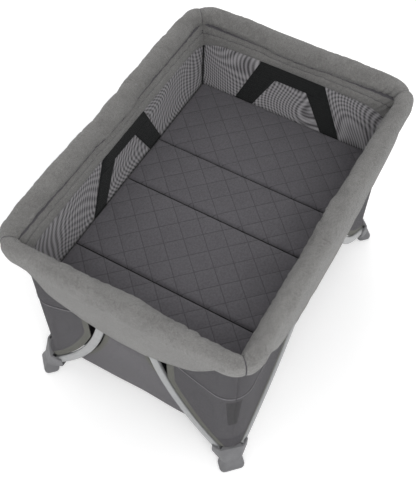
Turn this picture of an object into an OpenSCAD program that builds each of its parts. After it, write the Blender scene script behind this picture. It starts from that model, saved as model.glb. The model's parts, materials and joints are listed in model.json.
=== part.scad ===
// Folding travel cot with a raised mattress level.
// +X runs along the long side, +Y across it, +Z up. The origin is at floor level, in the middle.
// Each side is drawn in its own flat frame: X along the side, Y = 0 in the plane of its legs with
// +Y towards the inside of the cot, and Z up. on_side() then puts it in place.

/* [Top rim] */
// Outer length of the padded rim
rim_length = 1151; // [1140:1:1160]
// Outer width of the padded rim
rim_width = 829; // [820:1:840]
// Height of the rim above the floor
rim_height = 807; // [800:1:820]
// Width of the rail padding, seen from above
pad_width = 62; // [60:1:64]
// Height of the rail padding
pad_height = 79; // [76:1:82]

/* [Legs] */
// Width of a leg tube, across its curve
leg_width = 28; // [22:1:30]
// Thickness of a leg tube
leg_depth = 17; // [12:1:18]
// Height of the leg pivots on the hubs
hub_pivot_height = 690; // [680:1:700]
// How far a long side's leg curves in from the straight line between its pivots
long_leg_bow = 62; // [50:1:64]
// How far a short side's leg curves in from the straight line between its pivots
short_leg_bow = 52; // [40:1:54]

/* [Feet] */
// Width of a foot at the floor, across its corner
foot_width = 84; // [80:1:90]
// Depth of a foot at the floor
foot_depth = 52; // [48:1:56]
// Height of a foot
foot_height = 105; // [100:1:112]
// Thickness of the rubber sole
sole_thickness = 4; // [3:0.5:6]

/* [Mattress] */
// Length of the mattress
mattress_length = 980; // [960:1:980]
// Width of the mattress
mattress_width = 670; // [640:1:670]
// Height of the mattress's top above the floor
mattress_top = 514; // [510:1:520]
// Thickness of a mattress panel
mattress_thickness = 25; // [18:1:25]

/* [Skirt] */
// Height of a long side's skirt at its lowest point
long_skirt_low = 480; // [460:5:520]
// Height of a short side's skirt at its lowest point
short_skirt_low = 550; // [530:5:600]
// Half the length over which a long side's skirt hangs below the rim
long_skirt_reach = 420; // [380:10:460]
// Half the length over which a short side's skirt hangs below the rim
short_skirt_reach = 270; // [240:10:300]

/* [Hidden] */

// Sides, in turn from the front: a turn of 90 degrees each.
FRONT = 0;
RIGHT = 1;
BACK = 2;
LEFT = 3;
function is_long(side) = side == FRONT || side == BACK;

// Layers of a side, from the leg plane: skirt and rails outside, hub plate inside.
skirt_layer = 41;
sheet = 3;
plate_near = 10;
plate_far = 15;
rail_layer = -22;
long_plane = rim_width / 2 - skirt_layer - sheet / 2;
short_plane = rim_length / 2 - skirt_layer - sheet / 2;
function plane(side) = is_long(side) ? long_plane : short_plane;
function half_rim(side) = is_long(side) ? rim_length / 2 : rim_width / 2;

// Pivots of a side: X of the legs on the hub, of the legs in the feet, and of the rails on the hub.
foot_pivot_height = 85;
function hub_pivot(side) = is_long(side) ? 75 : 65;
function foot_pivot(side) = is_long(side) ? 478 : 312;
function rail_pivot(side) = is_long(side) ? 35 : 30;
function rail_height(side) = is_long(side) ? 745 : 768;
function rail_tip(side) = is_long(side) ? 505 : 345;
function leg_bow(side) = is_long(side) ? long_leg_bow : short_leg_bow;

// A leg is a circular arc through its two pivots.
function leg_run(side) = foot_pivot(side) - hub_pivot(side);
leg_rise = hub_pivot_height - foot_pivot_height;
function leg_chord(side) = sqrt(pow(leg_run(side), 2) + pow(leg_rise, 2));
function leg_radius(side) = pow(leg_chord(side), 2) / (8 * leg_bow(side)) + leg_bow(side) / 2;
function leg_centre(side) =
    let (reach = (leg_radius(side) - leg_bow(side)) / leg_chord(side))
    [(foot_pivot(side) + hub_pivot(side)) / 2 + leg_rise * reach,
     (hub_pivot_height + foot_pivot_height) / 2 + leg_run(side) * reach];

// Pins and eyes. A pin turns in its eye with pin_gap all round.
pin_gap = 0.05;
foot_pin_r = 4;
hub_pin_r = 5;
leg_eye_r = 15;
open_eye_r = 10.5;
rail_eye_r = 13;
rivet_head_r = 9;
rivet_head = 2.5;
gap = 0.6;

// Rails and padding.
rail_r = 9;
rail_eye_half = 9.5;
plug_r = 11.5;
plug_length = 25;
pad_bore_r = 13;
pad_round = 24;
pad_corner_r = 90;
pad_start = 54;
pad_bottom = rim_height - pad_height;

// Feet, drawn in the front left corner. A foot spans the two legs and leans outwards down to its base.
foot_base_at = [-534, -364];
foot_waist_at = [-524, -358];
foot_waist = [66, 44];
foot_waist_height = 34;
foot_top_height = 62;
foot_wall = 6;
foot_pin_half = 14;
slot_half = leg_depth / 2 + gap;
slot_reach = 16;
open_slot_reach = 22;

// Fabric panels.
panel_gap = 4;
corner_panel_base = 112;
corner_panel_top = 715;
corner_panel_start = 130;
corner_panel_end = 10;
side_panel_base = 100;
side_panel_top = 470;
side_panel_lean = 36;
wall_base = 484;
long_wall_layer = 28;
short_wall_layer = 34;
long_wall_lean = -2;
short_wall_lean = -12;

// Floors and mattress.
hub_disc_r = 52;
floor_height = 95;
floor_edge = 62;
floor_reach = 452;
floor_half_width = 300;
floor_thickness = 4;
bassinet_floor_top = mattress_top - mattress_thickness - 1;
crease_bead_r = 2;
crease_gap = 2.5;
crease_1 = -315;
crease_2 = -15;
crease_3 = 185;

rail_grey = "#8a8a8a";
fabric_grey = "#77787a";
dark_fabric = "#4b4a4c";
tube_silver = "#b9bbbd";
plastic_grey = "#6d6e70";
black = "#222222";

module on_side(side) rotate([0, 0, 90 * side]) translate([0, -plane(side), 0]) children();

module half_of_side(half) mirror([half < 0 ? 1 : 0, 0, 0]) children();

module at_corner(right, back)
    mirror([right ? 1 : 0, 0, 0]) mirror([0, back ? 1 : 0, 0]) children();

// A pin or eye across a side, from layer a to layer b.
module across(x, z, r, a, b) translate([x, b, z]) rotate([90, 0, 0]) cylinder(r = r, h = b - a, $fn = 48);

// A flat sheet of a side: its outline in X and Z, from layer a to layer b.
module upright(a, b) translate([0, b, 0]) rotate([90, 0, 0]) linear_extrude(b - a) children();

module rounded_rectangle(w, h, r) {
    square([w - 2 * r, h], center = true);
    square([w, h - 2 * r], center = true);
    for (x = [-1, 1], y = [-1, 1])
        translate([x * (w / 2 - r), y * (h / 2 - r)]) circle(r = r, $fn = 48);
}

// Hub: a plate inside the legs, with a rivet for each leg and a longer one for each rail.
module hub(side) {
    leg_x = hub_pivot(side);
    rail_x = rail_pivot(side);
    rail_z = rail_height(side);
    leg_side = -leg_depth / 2 - gap;
    rail_side = rail_layer - rail_eye_half - gap;
    color(black) {
        upright(plate_near, plate_far) hull() {
            for (x = [-leg_x, leg_x]) translate([x, hub_pivot_height]) circle(r = 18, $fn = 32);
            for (x = [-rail_x, rail_x]) translate([x, rail_z]) circle(r = 16, $fn = 32);
        }
        for (x = [-leg_x, leg_x]) {
            across(x, hub_pivot_height, hub_pin_r, leg_side, plate_far);
            across(x, hub_pivot_height, rivet_head_r, leg_side - rivet_head, leg_side);
        }
        for (x = [-rail_x, rail_x]) {
            across(x, rail_z, hub_pin_r, rail_side, plate_far);
            across(x, rail_z, rivet_head_r, rail_side - rivet_head, rail_side);
        }
    }
}

// Leg on the +X half of a side. An open leg has a wide lower eye round its pin.
module leg(side, open = false) {
    c = leg_centre(side);
    r = leg_radius(side);
    from = 360 + atan2(hub_pivot_height - c[1], hub_pivot(side) - c[0]);
    to = 360 + atan2(foot_pivot_height - c[1], foot_pivot(side) - c[0]);
    half = leg_depth / 2 - gap;
    color(tube_silver) difference() {
        union() {
            translate([c[0], 0, c[1]]) rotate([90, 0, 0]) rotate([0, 0, from])
                rotate_extrude(angle = to - from, $fn = 360)
                    translate([r, 0]) rounded_rectangle(leg_width, leg_depth, 7);
            across(hub_pivot(side), hub_pivot_height, leg_eye_r, -half, half);
            across(foot_pivot(side), foot_pivot_height, leg_eye_r, -half, half);
        }
        across(hub_pivot(side), hub_pivot_height, hub_pin_r + pin_gap, -leg_depth, leg_depth);
        across(foot_pivot(side), foot_pivot_height, open ? open_eye_r : foot_pin_r + pin_gap,
               -leg_depth, leg_depth);
    }
}

// Outline of a foot at one height, set across the corner.
module foot_outline(at, size, r)
    translate(at) rotate(135) rounded_rectangle(size[0], size[1], r);

// Outline of a foot's top: a wall round the slot of each leg, and the web between them.
module foot_top_outline(open) {
    reach = open ? open_slot_reach : slot_reach;
    wide = 2 * (slot_half + foot_wall);
    hull() {
        translate([-foot_pivot(FRONT) - 4, -long_plane]) rounded_rectangle(36, wide, 7);
        translate([-short_plane, -foot_pivot(LEFT) - reach / 2 + 5]) rounded_rectangle(wide, reach + 24, 7);
    }
}

// Foot in the front left corner, with a slot and a pin for each of its two legs.
module foot(open = false) {
    slot_base = foot_pivot_height - slot_reach;
    open_base = foot_pivot_height - open_slot_reach;
    color(plastic_grey) {
        difference() {
            union() {
                hull() {
                    translate([0, 0, sole_thickness]) linear_extrude(8)
                        foot_outline(foot_base_at, [foot_width, foot_depth], 16);
                    translate([0, 0, foot_waist_height]) linear_extrude(8) foot_outline(foot_waist_at, foot_waist, 16);
                }
                hull() {
                    translate([0, 0, foot_waist_height]) linear_extrude(8) foot_outline(foot_waist_at, foot_waist, 16);
                    translate([0, 0, foot_top_height]) linear_extrude(foot_height - foot_top_height)
                        foot_top_outline(open);
                }
            }
            translate([-foot_pivot(FRONT) - slot_reach, -long_plane - slot_half, slot_base])
                cube([foot_width, 2 * slot_half, foot_height]);
            translate([-short_plane - slot_half, -foot_pivot(LEFT) - (open ? open_slot_reach : slot_reach),
                       open ? open_base : slot_base])
                cube([2 * slot_half, foot_width, foot_height]);
        }
        translate([0, -long_plane, 0])
            across(-foot_pivot(FRONT), foot_pivot_height, foot_pin_r, -foot_pin_half, foot_pin_half);
        translate([-short_plane, 0, 0]) rotate([0, 0, -90])
            across(foot_pivot(LEFT), foot_pivot_height, foot_pin_r, -foot_pin_half, foot_pin_half);
    }
}

module sole() {
    color(black) linear_extrude(sole_thickness) foot_outline(foot_base_at, [foot_width - 4, foot_depth - 4], 14);
}

// Half-rail on the +X half of a side: an eye, the tube and an end plug.
module rail(side) {
    x = rail_pivot(side);
    z = rail_height(side);
    color(tube_silver) difference() {
        union() {
            across(x, z, rail_eye_r, rail_layer - rail_eye_half, rail_layer + rail_eye_half);
            translate([x + hub_pin_r, rail_layer, z]) rotate([0, 90, 0])
                cylinder(r = rail_r, h = rail_tip(side) - x - hub_pin_r, $fn = 48);
            translate([rail_tip(side) - plug_length, rail_layer, z]) rotate([0, 90, 0])
                cylinder(r = plug_r, h = plug_length, $fn = 48);
        }
        across(x, z, hub_pin_r + pin_gap, 2 * rail_layer, 0);
    }
}

// Outer edge of a pad seen from above, where it curves towards the mitre.
function pad_corner(end, outer) = [for (a = [0:9:45])
    [end - gap - pad_corner_r * (1 - sin(a)), outer + pad_corner_r * (1 - cos(a))]];

// Padding of a half-rail: a rounded bar with a mitred corner, bored for its tube, pocketed for the hub.
module rail_pad(side) {
    end = half_rim(side);
    outer = -skirt_layer - sheet / 2;
    inner = outer + pad_width;
    color(rail_grey) difference() {
        intersection() {
            translate([pad_start, (outer + inner) / 2, pad_bottom + pad_height / 2]) rotate([90, 0, 90])
                linear_extrude(end) rounded_rectangle(pad_width, pad_height, pad_round);
            linear_extrude(rim_height) polygon(concat([[pad_start, outer]], pad_corner(end, outer),
                                                      [[end - gap - pad_width, inner], [pad_start, inner]]));
        }
        translate([0, rail_layer, rail_height(side)]) rotate([0, 90, 0])
            cylinder(r = pad_bore_r, h = rail_tip(side) + 6, $fn = 48);
        translate([0, plate_near - 1, 0]) cube([100, plate_far - plate_near + 2, rail_height(side) + 20]);
    }
}

// Fabric that fills a side between a leg and the corner, down to the foot.
module side_of_corner_panel(side) {
    upright(-sheet / 2, sheet / 2) intersection() {
        translate(leg_centre(side)) circle(r = leg_radius(side) - leg_width / 2 - panel_gap, $fn = 360);
        translate([corner_panel_start, corner_panel_base])
            square([half_rim(side) - skirt_layer - corner_panel_end - corner_panel_start,
                    corner_panel_top - corner_panel_base]);
    }
}

module corner_panel() {
    color(dark_fabric) {
        on_side(FRONT) half_of_side(-1) side_of_corner_panel(FRONT);
        on_side(LEFT) side_of_corner_panel(LEFT);
    }
}

// Skirt: its lower edge is one arc, lowest at the middle of the side, which ends at the bottom of the rim.
module skirt(side) {
    top = pad_bottom - 1;
    reach = is_long(side) ? long_skirt_reach : short_skirt_reach;
    low = is_long(side) ? long_skirt_low : short_skirt_low;
    r = (pow(reach, 2) + pow(top - low, 2)) / (2 * (top - low));
    color(rail_grey) upright(-skirt_layer - sheet / 2, -skirt_layer + sheet / 2) intersection() {
        translate([0, low + r]) circle(r = r, $fn = 360);
        translate([-reach, low - 1]) square([2 * reach, top - low + 1]);
    }
}

// Mesh wall, which leans out towards the rail, and the opaque panel between the two legs, which leans in
// towards the floor.
module wall(side) {
    base_layer = is_long(side) ? long_wall_layer : short_wall_layer;
    top_layer = base_layer + (is_long(side) ? long_wall_lean : short_wall_lean);
    half = is_long(side) ? mattress_length / 2 + 2 : mattress_width / 2 - 2;
    top = pad_bottom - 1;
    color(fabric_grey) translate([-half, 0, 0]) rotate([90, 0, 90]) linear_extrude(2 * half)
        polygon([[base_layer, wall_base], [base_layer + sheet, wall_base],
                 [top_layer + sheet, top], [top_layer, top]]);
    color(dark_fabric) intersection() {
        translate([-foot_pivot(side), 0, 0]) rotate([90, 0, 90]) linear_extrude(2 * foot_pivot(side))
            polygon([[side_panel_lean - sheet / 2, side_panel_base], [side_panel_lean + sheet / 2, side_panel_base],
                     [sheet / 2, side_panel_top], [-sheet / 2, side_panel_top]]);
        upright(-sheet, side_panel_lean + sheet) difference() {
            translate([-foot_pivot(side), side_panel_base])
                square([2 * foot_pivot(side), side_panel_top - side_panel_base]);
            for (m = [0, 1]) mirror([m, 0]) translate(leg_centre(side))
                circle(r = leg_radius(side) + leg_width / 2 + panel_gap, $fn = 360);
        }
    }
}

// Floor hub with the bore that the release handle's stem slides in.
stem_r = 8;
module floor_hub() {
    color(plastic_grey) difference() {
        union() {
            translate([0, 0, floor_height - 23]) cylinder(r = hub_disc_r, h = 23, $fn = 96);
            translate([0, 0, floor_height]) cylinder(r = 24, h = 8, $fn = 64);
        }
        cylinder(r = stem_r + pin_gap, h = floor_height + 20, $fn = 48);
    }
}

module release_handle() {
    grip_z = floor_height + 9;
    color(black) {
        translate([0, 0, floor_height - 20]) cylinder(r = stem_r, h = 31, $fn = 48);
        translate([0, 0, grip_z]) linear_extrude(12) rounded_rectangle(84, 22, 9);
    }
}

// Left half of the lower floor, with a rod in the hem that it folds about.
module lower_floor() {
    color(dark_fabric) {
        translate([-floor_reach, -floor_half_width, floor_height - floor_thickness / 2])
            cube([floor_reach - floor_edge, 2 * floor_half_width, floor_thickness]);
        translate([-floor_edge, floor_half_width, floor_height]) rotate([90, 0, 0])
            cylinder(r = 4, h = 2 * floor_half_width, $fn = 32);
    }
}

// Left half of the bassinet's floor, hung from the left side.
module bassinet_floor() {
    half = mattress_width / 2 - 1;
    rod_x = mattress_length / 2 - 3;
    color(dark_fabric) {
        translate([-rod_x, -half, bassinet_floor_top - floor_thickness])
            cube([rod_x - 2, 2 * half, floor_thickness]);
        translate([-rod_x, half, bassinet_floor_top - floor_thickness / 2]) rotate([90, 0, 0])
            cylinder(r = floor_thickness / 2, h = 2 * half, $fn = 32);
    }
}

// Mattress panel from x = a to x = b, with a bead along the crease it folds about.
module mattress_panel(a, b, crease = undef) {
    color(dark_fabric) {
        translate([a, -mattress_width / 2, mattress_top - mattress_thickness])
            cube([b - a, mattress_width, mattress_thickness]);
        if (crease != undef) translate([crease, mattress_width / 2, mattress_top]) rotate([90, 0, 0])
            cylinder(r = crease_bead_r, h = mattress_width, $fn = 32);
    }
}

floor_hub();
release_handle();
on_side(FRONT) hub(FRONT);  // front_hub
on_side(RIGHT) hub(RIGHT);  // right_hub
on_side(BACK) hub(BACK);  // back_hub
on_side(LEFT) hub(LEFT);  // left_hub
on_side(FRONT) half_of_side(-1) leg(FRONT);  // front_left_leg
on_side(FRONT) half_of_side(1) leg(FRONT);  // front_right_leg
on_side(BACK) half_of_side(1) leg(BACK);  // back_left_leg
on_side(BACK) half_of_side(-1) leg(BACK);  // back_right_leg
on_side(LEFT) half_of_side(1) leg(LEFT);  // left_front_leg
on_side(LEFT) half_of_side(-1) leg(LEFT, open = true);  // left_back_leg
on_side(RIGHT) half_of_side(-1) leg(RIGHT);  // right_front_leg
on_side(RIGHT) half_of_side(1) leg(RIGHT, open = true);  // right_back_leg
at_corner(false, false) foot();  // front_left_foot
at_corner(true, false) foot();  // front_right_foot
at_corner(false, true) foot(open = true);  // back_left_foot
at_corner(true, true) foot(open = true);  // back_right_foot
at_corner(false, false) sole();  // front_left_sole
at_corner(true, false) sole();  // front_right_sole
at_corner(false, true) sole();  // back_left_sole
at_corner(true, true) sole();  // back_right_sole
on_side(FRONT) half_of_side(-1) rail(FRONT);  // front_left_rail
on_side(FRONT) half_of_side(1) rail(FRONT);  // front_right_rail
on_side(BACK) half_of_side(1) rail(BACK);  // back_left_rail
on_side(BACK) half_of_side(-1) rail(BACK);  // back_right_rail
on_side(LEFT) half_of_side(1) rail(LEFT);  // left_front_rail
on_side(LEFT) half_of_side(-1) rail(LEFT);  // left_back_rail
on_side(RIGHT) half_of_side(-1) rail(RIGHT);  // right_front_rail
on_side(RIGHT) half_of_side(1) rail(RIGHT);  // right_back_rail
on_side(FRONT) half_of_side(-1) rail_pad(FRONT);  // front_left_pad
on_side(FRONT) half_of_side(1) rail_pad(FRONT);  // front_right_pad
on_side(BACK) half_of_side(1) rail_pad(BACK);  // back_left_pad
on_side(BACK) half_of_side(-1) rail_pad(BACK);  // back_right_pad
on_side(LEFT) half_of_side(1) rail_pad(LEFT);  // left_front_pad
on_side(LEFT) half_of_side(-1) rail_pad(LEFT);  // left_back_pad
on_side(RIGHT) half_of_side(-1) rail_pad(RIGHT);  // right_front_pad
on_side(RIGHT) half_of_side(1) rail_pad(RIGHT);  // right_back_pad
at_corner(false, false) corner_panel();  // front_left_corner_panel
at_corner(true, false) corner_panel();  // front_right_corner_panel
at_corner(false, true) corner_panel();  // back_left_corner_panel
at_corner(true, true) corner_panel();  // back_right_corner_panel
on_side(FRONT) skirt(FRONT);  // front_skirt
on_side(RIGHT) skirt(RIGHT);  // right_skirt
on_side(BACK) skirt(BACK);  // back_skirt
on_side(LEFT) skirt(LEFT);  // left_skirt
on_side(FRONT) wall(FRONT);  // front_wall
on_side(RIGHT) wall(RIGHT);  // right_wall
on_side(BACK) wall(BACK);  // back_wall
on_side(LEFT) wall(LEFT);  // left_wall
lower_floor();  // lower_floor_left
at_corner(true, false) lower_floor();  // lower_floor_right
bassinet_floor();  // bassinet_floor_left
at_corner(true, false) bassinet_floor();  // bassinet_floor_right
mattress_panel(-mattress_length / 2, crease_1, crease_1);  // mattress_panel_1
mattress_panel(crease_1 + crease_gap, crease_2, crease_2);  // mattress_panel_2
mattress_panel(crease_2 + crease_gap, crease_3 - crease_gap);  // mattress_panel_3
mattress_panel(crease_3, mattress_length / 2, crease_3);  // mattress_panel_4
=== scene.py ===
"""Looks for the folding travel cot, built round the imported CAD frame.

Lengths are in metres, in the CAD frame: +X along the long side, +Y across, +Z up. Each side also has
a flat frame of its own: u along the side, v inwards from the plane of its legs, and z up.
"""
import json
import math

import bmesh
import bpy
import numpy as np
from mathutils import Matrix, Vector, noise


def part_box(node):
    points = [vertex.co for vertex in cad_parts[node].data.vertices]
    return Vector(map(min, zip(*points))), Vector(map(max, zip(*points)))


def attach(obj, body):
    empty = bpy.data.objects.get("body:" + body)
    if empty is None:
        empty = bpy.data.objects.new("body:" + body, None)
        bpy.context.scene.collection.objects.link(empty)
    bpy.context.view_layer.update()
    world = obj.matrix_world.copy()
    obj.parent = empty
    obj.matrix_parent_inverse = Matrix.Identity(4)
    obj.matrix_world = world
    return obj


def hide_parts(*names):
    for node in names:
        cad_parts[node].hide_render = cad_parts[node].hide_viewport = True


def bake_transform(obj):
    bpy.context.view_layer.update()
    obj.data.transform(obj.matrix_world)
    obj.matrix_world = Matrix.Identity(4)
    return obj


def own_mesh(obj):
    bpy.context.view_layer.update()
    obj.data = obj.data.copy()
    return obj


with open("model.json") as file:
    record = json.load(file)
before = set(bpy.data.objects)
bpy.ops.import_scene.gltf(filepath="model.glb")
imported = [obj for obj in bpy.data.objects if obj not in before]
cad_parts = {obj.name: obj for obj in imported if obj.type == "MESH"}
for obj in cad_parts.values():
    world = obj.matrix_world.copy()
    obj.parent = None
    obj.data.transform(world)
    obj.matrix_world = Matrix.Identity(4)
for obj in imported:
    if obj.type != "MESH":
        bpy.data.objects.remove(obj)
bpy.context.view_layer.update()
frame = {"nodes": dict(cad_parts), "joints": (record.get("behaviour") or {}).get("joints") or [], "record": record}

# ---------------------------------------------------------------- sizes, from the frame

SIDES = ("front", "right", "back", "left")
ENDS = {"front": ("left", "right"), "right": ("front", "back"),
        "back": ("right", "left"), "left": ("back", "front")}
LONG = ("front", "back")


def middle(node, axis):
    """The middle of a node's box on one axis."""
    low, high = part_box(node)
    return (low[axis] + high[axis]) / 2


def joint(name):
    """The joint of that name, from the frame."""
    return next(j for j in frame["joints"] if j["name"] == name)


LEG_Y = -middle("front_left_leg", 1)
LEG_X = -middle("left_front_leg", 0)
RIM_LOW, RIM_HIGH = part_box("front_left_pad")
RIM_BOTTOM, RIM_TOP = RIM_LOW[2], RIM_HIGH[2]
RIM_WIDTH = RIM_HIGH[1] - RIM_LOW[1]
RIM_HALF_Y = -RIM_LOW[1]
RIM_HALF_X = -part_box("left_front_pad")[0][0]
RIM_OUTER = LEG_Y - RIM_HALF_Y
PLANE = {s: LEG_Y if s in LONG else LEG_X for s in SIDES}
HALF = {s: RIM_HALF_X if s in LONG else RIM_HALF_Y for s in SIDES}
ACROSS = {s: LEG_X if s in LONG else LEG_Y for s in SIDES}
MATTRESS_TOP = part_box("mattress_panel_3")[1][2]
SKIRT = {s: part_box(f"{s}_skirt") for s in SIDES}
FOOT_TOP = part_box("front_left_foot")[1][2]
SIDE_PANEL_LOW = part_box("front_wall")[0][2]
BASSINET_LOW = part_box("bassinet_floor_left")[0][2]
LEG_WIDTH = 0.028
# How far the middle of a leg's arc is from its chord.
LEG_BOW = {s: 0.062 if s in LONG else 0.052 for s in SIDES}


def along(side):
    """The direction of u of a side, in the frame."""
    turn = SIDES.index(side) * math.pi / 2
    return (round(math.cos(turn)), round(math.sin(turn)), 0)


def inward(side):
    """The direction of v of a side, in the frame."""
    cos, sin, _ = along(side)
    return np.array([-sin, cos, 0.0])


def u_of(side, points):
    """u of points of the frame."""
    return points @ np.array(along(side), float)


def place(side, points):
    """Points (u, v, z) of a side as points of the frame."""
    p = np.asarray(points, float).reshape(-1, 3)
    cos, sin, _ = along(side)
    w = p[:, 1] - PLANE[side]
    return np.column_stack([p[:, 0] * cos - w * sin, p[:, 0] * sin + w * cos, p[:, 2]])


def leg_arc(side):
    """Centre (u, z) and radius of the arc of the side's leg on its +u half."""
    hub = joint("front_right_leg_swing" if side in LONG else "right_back_leg_swing")["pos_m"]
    foot = joint("front_right_foot_level" if side in LONG else "right_front_leg_swing")["pos_m"]
    axis = 0 if side in LONG else 1
    hu, fu = abs(hub[axis]), abs(foot[axis])
    hz, fz = hub[2], foot[2]
    chord = math.hypot(fu - hu, hz - fz)
    bow = LEG_BOW[side]
    radius = chord ** 2 / (8 * bow) + bow / 2
    reach = (radius - bow) / chord
    return (hu + fu) / 2 + (hz - fz) * reach, (hz + fz) / 2 + (fu - hu) * reach, radius


def leg_u(side, z, offset):
    """u of the leg's centre line at height z, moved offset towards the corner."""
    cu, cz, radius = leg_arc(side)
    return cu - math.sqrt(max((radius - offset) ** 2 - (cz - z) ** 2, 0))


# ---------------------------------------------------------------- shader helpers


def srgb(r, g, b):
    """A colour given as 0 to 255 display values, in linear light."""
    def linear(c):
        c /= 255
        return c / 12.92 if c <= 0.04045 else ((c + 0.055) / 1.055) ** 2.4
    return (linear(r), linear(g), linear(b), 1)


class Shader:
    """A Principled material with short ways to add and link nodes."""

    def __init__(self, name, roughness=0.8, metallic=0.0, sheen=0.0, specular=0.4):
        self.material = bpy.data.materials.new(name)
        self.material.use_nodes = True
        self.tree = self.material.node_tree
        self.surface = self.tree.nodes["Principled BSDF"]
        self.set(self.surface, "Roughness", roughness)
        self.set(self.surface, "Metallic", metallic)
        self.set(self.surface, "Sheen Weight", sheen)
        self.set(self.surface, "Specular IOR Level", specular)
        self.where = self.tree.nodes.new("ShaderNodeTexCoord").outputs["Object"]

    def set(self, node, socket, value):
        if isinstance(value, bpy.types.NodeSocket):
            self.tree.links.new(value, node.inputs[socket])
        else:
            node.inputs[socket].default_value = value

    def noise(self, scale, detail=2.0, vector=None):
        node = self.tree.nodes.new("ShaderNodeTexNoise")
        self.set(node, "Scale", scale)
        self.set(node, "Detail", detail)
        self.set(node, "Vector", vector or self.where)
        return node.outputs["Fac"]

    def math(self, operation, a, b=0.0, c=0.0):
        node = self.tree.nodes.new("ShaderNodeMath")
        node.operation = operation
        for i, value in enumerate((a, b, c)):
            self.set(node, i, value)
        return node.outputs[0]

    def remap(self, value, low, high, to_low=0.0, to_high=1.0):
        node = self.tree.nodes.new("ShaderNodeMapRange")
        for socket, v in (("Value", value), ("From Min", low), ("From Max", high),
                          ("To Min", to_low), ("To Max", to_high)):
            self.set(node, socket, v)
        return node.outputs["Result"]

    def mix(self, share, a, b):
        node = self.tree.nodes.new("ShaderNodeMix")
        node.data_type = "RGBA"
        for socket, value in ((0, share), (6, a), (7, b)):
            self.set(node, socket, value)
        return node.outputs[2]

    def xyz(self):
        node = self.tree.nodes.new("ShaderNodeSeparateXYZ")
        self.set(node, "Vector", self.where)
        return node.outputs

    def weave(self, pitch):
        """Height of a plain weave of that pitch, on a surface that faces any way."""
        waves = [self.math("SINE", self.math("MULTIPLY", axis, 2 * math.pi / pitch))
                 for axis in self.xyz()]
        pairs = [self.math("MULTIPLY", waves[i], waves[(i + 1) % 3]) for i in range(3)]
        return self.math("ADD", self.math("ADD", pairs[0], pairs[1]), pairs[2])

    def bump(self, height, distance, strength=1.0):
        node = self.tree.nodes.new("ShaderNodeBump")
        self.set(node, "Height", height)
        self.set(node, "Distance", distance)
        self.set(node, "Strength", strength)
        self.set(self.surface, "Normal", node.outputs["Normal"])

    def colour(self, value):
        self.set(self.surface, "Base Color", value)

    def see_through(self, open_share):
        """Lets light through where open_share is high, as holes do."""
        clear = self.tree.nodes.new("ShaderNodeBsdfTransparent")
        blend = self.tree.nodes.new("ShaderNodeMixShader")
        self.set(blend, 0, open_share)
        self.set(blend, 1, self.surface.outputs[0])
        self.set(blend, 2, clear.outputs[0])
        output = self.tree.nodes["Material Output"]
        self.tree.links.new(blend.outputs[0], output.inputs["Surface"])


def fabric(name, dark, light, pitch=0.0011, mottle=0.5, relief=0.0003, sheen=0.25):
    """Woven cloth of mixed yarns: flecks of two colours, a fine weave and slow changes of tone."""
    s = Shader(name, roughness=0.92, sheen=sheen, specular=0.2)
    fleck = s.remap(s.noise(620, 3), 0.36, 0.64)
    slub = s.remap(s.noise(150, 3), 0.35, 0.65)
    slow = s.remap(s.noise(7, 2), 0.3, 0.7)
    share = s.math("ADD", s.math("MULTIPLY", fleck, mottle), s.math("MULTIPLY", slub, 1 - mottle))
    share = s.math("MULTIPLY_ADD", slow, 0.22, s.math("MULTIPLY", share, 0.78))
    s.colour(s.mix(share, dark, light))
    s.bump(s.math("MULTIPLY_ADD", fleck, 0.6, s.weave(pitch)), relief, 0.7)
    return s


def melange():
    return fabric("melange_fabric", srgb(92, 91, 90), srgb(144, 143, 141), mottle=0.75).material


def trim():
    return fabric("webbing", srgb(80, 80, 75), srgb(104, 104, 97), pitch=0.0022, relief=0.0005,
                  sheen=0.1).material


def dark_cloth():
    return fabric("dark_cloth", srgb(78, 76, 80), srgb(98, 96, 100), mottle=0.4, sheen=0.15).material


def black_cloth():
    return fabric("black_cloth", srgb(24, 25, 26), srgb(38, 40, 40), mottle=0.4, sheen=0.05).material


def seam_cloth():
    return fabric("seam_cloth", srgb(112, 110, 114), srgb(138, 136, 140), sheen=0.15).material


def sheer_cloth():
    """Fine netting that shows a little of what is behind it."""
    s = fabric("sheer_cloth", srgb(66, 64, 68), srgb(84, 82, 86), mottle=0.3, sheen=0.1)
    s.see_through(s.remap(s.noise(900, 1), 0.3, 0.7, 0.02, 0.14))
    return s.material


def covered_strap():
    """A dark strap that shows through the fine netting over it."""
    return fabric("covered_strap", srgb(40, 39, 41), srgb(54, 52, 55), mottle=0.3, sheen=0.1).material


def mesh_net():
    """Open knitted mesh: rows of small holes, and painted swirls of light and shade like those that two layers of
    it show where light from behind comes through.
    """
    s = Shader("mesh_net", roughness=0.85, sheen=0.1, specular=0.3)
    x, y, z = s.xyz()
    pitch = 2 * math.pi / 0.0032
    level = s.math("MULTIPLY", s.math("ADD", x, y), pitch)
    height = s.math("MULTIPLY", z, pitch * 1.1)
    drift = s.math("MULTIPLY", s.noise(9, 1), 20.0)
    threads = s.math("MULTIPLY", s.math("SINE", s.math("ADD", level, drift)),
                     s.math("SINE", s.math("ADD", height, drift)))
    # Swirl bands of painted light and shade: the light bands stand for the backdrop shining through two layers of
    # mesh, the dark bands for where the layers block it.
    upright = s.math("SINE", s.math("MULTIPLY_ADD", s.noise(5.0, 0), 90.0,
                                    s.math("MULTIPLY", s.math("SUBTRACT", x, y), 430.0)))
    level_lines = s.math("SINE", s.math("MULTIPLY_ADD", s.noise(4.0, 0), 110.0,
                                        s.math("MULTIPLY", z, 300.0)))
    swirl = s.math("MULTIPLY_ADD", level_lines, 0.6, upright)
    s.colour(s.mix(s.remap(swirl, -1.3, 1.3), srgb(96, 94, 97), srgb(190, 188, 191)))
    open_share = s.math("MULTIPLY", s.remap(threads, -0.1, 0.3), 0.34)
    s.bump(threads, 0.0004, 0.6)
    s.see_through(open_share)
    return s.material


# The stitched squares stand on their corners: distance between two lines.
QUILT = 0.064


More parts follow.
